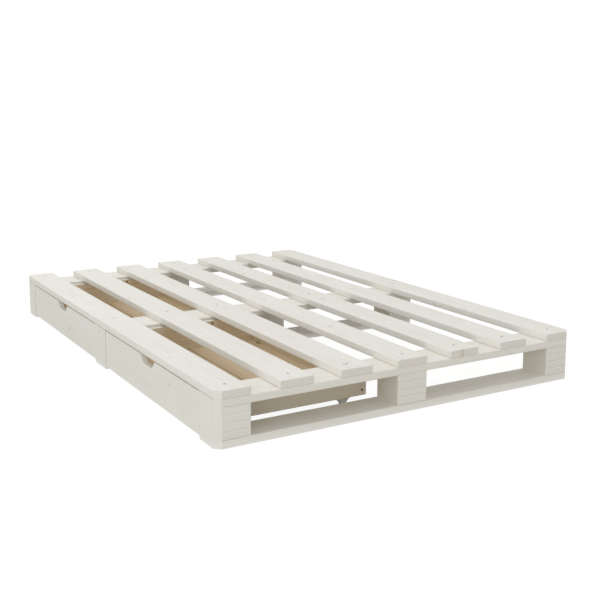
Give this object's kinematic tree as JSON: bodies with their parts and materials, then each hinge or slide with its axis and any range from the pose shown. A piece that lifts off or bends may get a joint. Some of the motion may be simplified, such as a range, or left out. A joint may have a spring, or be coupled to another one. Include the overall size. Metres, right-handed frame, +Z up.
{
  "type": "pallet bed frame",
  "caption": "Low slatted wooden bed frame on three rows of block legs, with roll-out drawers on casters filling one long side.",
  "frame": {"origin": "on the floor under the middle of the bed", "axes": "+Y along the bed towards the head end, +X across the bed away from the drawers, +Z up"},
  "size_m": [1.4, 2, 0.175],
  "materials": {
    "white_glazed_pine": "satin white glaze over planed pine, with faint grain and knots",
    "drawer_pine": "bare planed pine inside, white glaze on the outside faces",
    "beech_dowel": "fluted, unfinished",
    "zinc_screw": "zinc plated",
    "caster_steel": "zinc plated pressed sheet",
    "caster_plastic": "dark grey moulded"
  },
  "bodies": {
    "frame": {"slat_1": "white_glazed_pine", "slat_2": "white_glazed_pine", "slat_3": "white_glazed_pine", "slat_4": "white_glazed_pine", "slat_5": "white_glazed_pine", "slat_6": "white_glazed_pine", "slat_7": "white_glazed_pine", "foot_cross_board": "white_glazed_pine", "foot_bottom_board": "white_glazed_pine", "middle_cross_board": "white_glazed_pine", "middle_bottom_board": "white_glazed_pine", "head_cross_board": "white_glazed_pine", "head_bottom_board": "white_glazed_pine", "foot_left_block": "white_glazed_pine", "foot_centre_block": "white_glazed_pine", "foot_right_block": "white_glazed_pine", "middle_left_block": "white_glazed_pine", "middle_centre_block": "white_glazed_pine", "middle_right_block": "white_glazed_pine", "head_left_block": "white_glazed_pine", "head_centre_block": "white_glazed_pine", "head_right_block": "white_glazed_pine", "foot_left_cover": "white_glazed_pine", "foot_right_cover": "white_glazed_pine", "middle_left_cover": "white_glazed_pine", "middle_right_cover": "white_glazed_pine", "head_left_cover": "white_glazed_pine", "head_right_cover": "white_glazed_pine", "slat_screws": "zinc_screw", "block_screws": "zinc_screw"},
    "foot_drawer": {"foot_drawer_front": "white_glazed_pine", "foot_drawer_outer_side": "drawer_pine", "foot_drawer_inner_side": "drawer_pine", "foot_drawer_back": "drawer_pine", "foot_drawer_bottom_front": "drawer_pine", "foot_drawer_bottom_back": "drawer_pine", "foot_drawer_dowels": "beech_dowel", "foot_drawer_panel_screws": "zinc_screw", "foot_drawer_caster_brackets": "caster_steel", "foot_drawer_caster_axles": "caster_steel", "foot_drawer_caster_screws": "zinc_screw"},
    "foot_drawer_wheel_1": {"foot_drawer_wheel_1": "caster_plastic"},
    "foot_drawer_wheel_2": {"foot_drawer_wheel_2": "caster_plastic"},
    "foot_drawer_wheel_3": {"foot_drawer_wheel_3": "caster_plastic"},
    "foot_drawer_wheel_4": {"foot_drawer_wheel_4": "caster_plastic"},
    "head_drawer": {"head_drawer_front": "white_glazed_pine", "head_drawer_outer_side": "drawer_pine", "head_drawer_inner_side": "drawer_pine", "head_drawer_back": "drawer_pine", "head_drawer_bottom_front": "drawer_pine", "head_drawer_bottom_back": "drawer_pine", "head_drawer_dowels": "beech_dowel", "head_drawer_panel_screws": "zinc_screw", "head_drawer_caster_brackets": "caster_steel", "head_drawer_caster_axles": "caster_steel", "head_drawer_caster_screws": "zinc_screw"},
    "head_drawer_wheel_1": {"head_drawer_wheel_1": "caster_plastic"},
    "head_drawer_wheel_2": {"head_drawer_wheel_2": "caster_plastic"},
    "head_drawer_wheel_3": {"head_drawer_wheel_3": "caster_plastic"},
    "head_drawer_wheel_4": {"head_drawer_wheel_4": "caster_plastic"}
  },
  "joints": [
    {"name": "foot_drawer_slide", "type": "slide", "parent": "frame", "child": "foot_drawer", "axis": [-1, 0, 0], "range_m": [0, 0.62]},
    {"name": "foot_drawer_wheel_1_spin", "type": "hinge", "parent": "foot_drawer", "child": "foot_drawer_wheel_1", "pos_m": [-0.592, -0.847, 0.011], "axis": [0, 1, 0], "continuous": true},
    {"name": "foot_drawer_wheel_2_spin", "type": "hinge", "parent": "foot_drawer", "child": "foot_drawer_wheel_2", "pos_m": [-0.17, -0.847, 0.011], "axis": [0, 1, 0], "continuous": true},
    {"name": "foot_drawer_wheel_3_spin", "type": "hinge", "parent": "foot_drawer", "child": "foot_drawer_wheel_3", "pos_m": [-0.592, -0.083, 0.011], "axis": [0, 1, 0], "continuous": true},
    {"name": "foot_drawer_wheel_4_spin", "type": "hinge", "parent": "foot_drawer", "child": "foot_drawer_wheel_4", "pos_m": [-0.17, -0.083, 0.011], "axis": [0, 1, 0], "continuous": true},
    {"name": "head_drawer_slide", "type": "slide", "parent": "frame", "child": "head_drawer", "axis": [-1, 0, 0], "range_m": [0, 0.62]},
    {"name": "head_drawer_wheel_1_spin", "type": "hinge", "parent": "head_drawer", "child": "head_drawer_wheel_1", "pos_m": [-0.592, 0.847, 0.011], "axis": [0, 1, 0], "continuous": true},
    {"name": "head_drawer_wheel_2_spin", "type": "hinge", "parent": "head_drawer", "child": "head_drawer_wheel_2", "pos_m": [-0.17, 0.847, 0.011], "axis": [0, 1, 0], "continuous": true},
    {"name": "head_drawer_wheel_3_spin", "type": "hinge", "parent": "head_drawer", "child": "head_drawer_wheel_3", "pos_m": [-0.592, 0.083, 0.011], "axis": [0, 1, 0], "continuous": true},
    {"name": "head_drawer_wheel_4_spin", "type": "hinge", "parent": "head_drawer", "child": "head_drawer_wheel_4", "pos_m": [-0.17, 0.083, 0.011], "axis": [0, 1, 0], "continuous": true}
  ]
}
